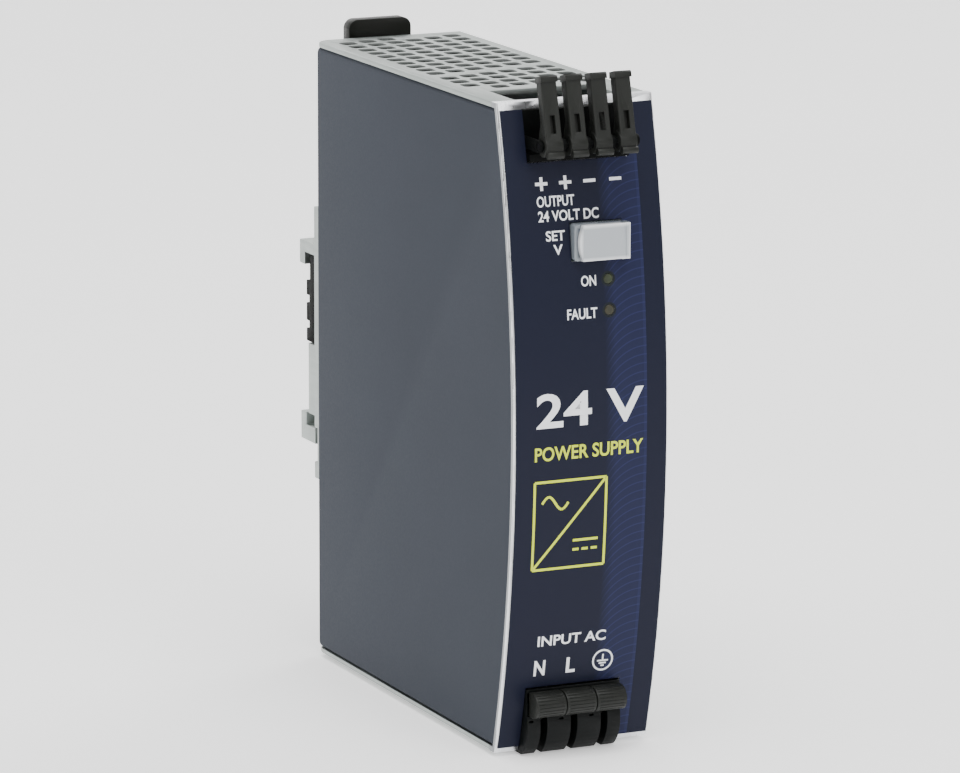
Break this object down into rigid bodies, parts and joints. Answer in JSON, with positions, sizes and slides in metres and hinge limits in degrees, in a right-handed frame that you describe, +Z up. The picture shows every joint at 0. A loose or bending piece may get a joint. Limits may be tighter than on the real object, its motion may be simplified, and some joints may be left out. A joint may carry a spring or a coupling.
{
  "type": "din rail power supply",
  "caption": "Slim rail-mounted power supply: coated aluminium box with a perforated metal cover, curved front panel, lever clamp terminals and a sprung rail latch.",
  "frame": {"origin": "on the 35 mm top-hat rail's centre line, at the front plane of its flanges, in the middle of the width", "axes": "+X to the right seen from the front, +Y towards the rail and the wall, +Z up; the front panel faces -Y"},
  "size_m": [0.032, 0.108, 0.1301],
  "materials": {
    "coated_side": "fine matt slate-grey coat on aluminium",
    "zinc_cover": "zinc-plated sheet steel, satin",
    "front_metal": "bright satin aluminium edge",
    "front_foil": "printed polycarbonate foil, fine matt",
    "terminal_plastic": "black glass-filled polyamide",
    "lever_plastic": "charcoal polyamide",
    "slider_plastic": "black polyamide",
    "steel_pins": "ground steel",
    "steel_screws": "zinc-plated steel",
    "spring_steel": "stainless spring steel",
    "tinned_copper": "tin-plated copper",
    "clear_plastic": "milky translucent polycarbonate",
    "trimmer_plastic": "blue moulded trimmer housing",
    "trimmer_rotor": "white moulded rotor",
    "circuit_board": "solder-masked glass epoxy",
    "ok_light": "green tinted light pipe, unlit",
    "fault_light": "amber tinted light pipe, unlit",
    "led_plastic": "clear epoxy",
    "insulation_film": "white aramid sheet",
    "ferrite": "sintered ferrite",
    "winding_tape": "yellow polyester tape",
    "capacitor_sleeve": "dark PVC sleeve",
    "copper_wire": "enamelled copper wire",
    "capacitor_box": "yellow moulded box",
    "fuse_glass": "clear glass tube",
    "component_epoxy": "black epoxy",
    "heat_sink": "extruded aluminium"
  },
  "bodies": {
    "housing": {"bridge_rectifier": "component_epoxy", "bulk_capacitor": "capacitor_sleeve", "choke_core": "ferrite", "choke_windings": "copper_wire", "control_board": "circuit_board", "cover": "zinc_cover", "fault_light_pipe": "fault_light", "flap_frame": "clear_plastic", "flap_pin": "steel_pins", "foot_bracket": "zinc_cover", "foot_screws": "steel_screws", "front_foil": "front_foil", "front_plate": "front_metal", "fuse_caps": "tinned_copper", "heat_sink": "heat_sink", "input_clamp_springs": "spring_steel", "input_current_bars": "tinned_copper", "input_lever_pin": "steel_pins", "input_terminal_block": "terminal_plastic", "insulation_sheet": "insulation_film", "line_capacitor": "capacitor_box", "line_fuse": "fuse_glass", "main_board": "circuit_board", "ok_light_pipe": "ok_light", "optocouplers": "component_epoxy", "output_capacitors": "capacitor_sleeve", "output_clamp_springs": "spring_steel", "output_current_bars": "tinned_copper", "output_inductor": "copper_wire", "output_lever_pin": "steel_pins", "output_terminal_block": "terminal_plastic", "power_transistors": "component_epoxy", "rail_guide": "slider_plastic", "rear_screws": "steel_screws", "side_body": "coated_side", "slider_spring": "spring_steel", "status_leds": "led_plastic", "transformer_core": "ferrite", "transformer_winding": "winding_tape", "trimmer_body": "trimmer_plastic"},
    "output_lever_1": {"output_lever_1": "lever_plastic"},
    "output_lever_2": {"output_lever_2": "lever_plastic"},
    "output_lever_3": {"output_lever_3": "lever_plastic"},
    "output_lever_4": {"output_lever_4": "lever_plastic"},
    "input_lever_1": {"input_lever_1": "lever_plastic"},
    "input_lever_2": {"input_lever_2": "lever_plastic"},
    "input_lever_3": {"input_lever_3": "lever_plastic"},
    "flap": {"adjuster_flap": "clear_plastic"},
    "trimmer": {"trimmer_rotor": "trimmer_rotor"},
    "rail_latch": {"release_slider": "slider_plastic", "latch_hook": "zinc_cover"}
  },
  "joints": [
    {"name": "output_lever_1_hinge", "type": "hinge", "parent": "housing", "child": "output_lever_1", "pos_m": [-0.00827, -0.101, 0.0546], "axis": [1, 0, 0], "range_deg": [0, 85]},
    {"name": "output_lever_2_hinge", "type": "hinge", "parent": "housing", "child": "output_lever_2", "pos_m": [-0.00323, -0.101, 0.0546], "axis": [1, 0, 0], "range_deg": [0, 85]},
    {"name": "output_lever_3_hinge", "type": "hinge", "parent": "housing", "child": "output_lever_3", "pos_m": [0.00183, -0.101, 0.0546], "axis": [1, 0, 0], "range_deg": [0, 85]},
    {"name": "output_lever_4_hinge", "type": "hinge", "parent": "housing", "child": "output_lever_4", "pos_m": [0.00688, -0.101, 0.0546], "axis": [1, 0, 0], "range_deg": [0, 85]},
    {"name": "input_lever_1_hinge", "type": "hinge", "parent": "housing", "child": "input_lever_1", "pos_m": [-0.00755, -0.0906, -0.0568], "axis": [1, 0, 0], "range_deg": [0, 80]},
    {"name": "input_lever_2_hinge", "type": "hinge", "parent": "housing", "child": "input_lever_2", "pos_m": [-0.00125, -0.0906, -0.0568], "axis": [1, 0, 0], "range_deg": [0, 80]},
    {"name": "input_lever_3_hinge", "type": "hinge", "parent": "housing", "child": "input_lever_3", "pos_m": [0.00505, -0.0906, -0.0568], "axis": [1, 0, 0], "range_deg": [0, 80]},
    {"name": "flap_hinge", "type": "hinge", "parent": "housing", "child": "flap", "pos_m": [0.0071, -0.1009, 0.03595], "axis": [0, 0, 1], "range_deg": [0, 110]},
    {"name": "trimmer_turn", "type": "hinge", "parent": "housing", "child": "trimmer", "pos_m": [0.002, -0.099, 0.03595], "axis": [0, 1, 0], "range_deg": [-135, 135]},
    {"name": "latch_slide", "type": "slide", "parent": "housing", "child": "rail_latch", "axis": [0, 0, -1], "range_m": [0, 0.003], "stiffness_N_per_m": 1500, "springref_m": -0.004, "deforming": ["slider_spring"]}
  ]
}
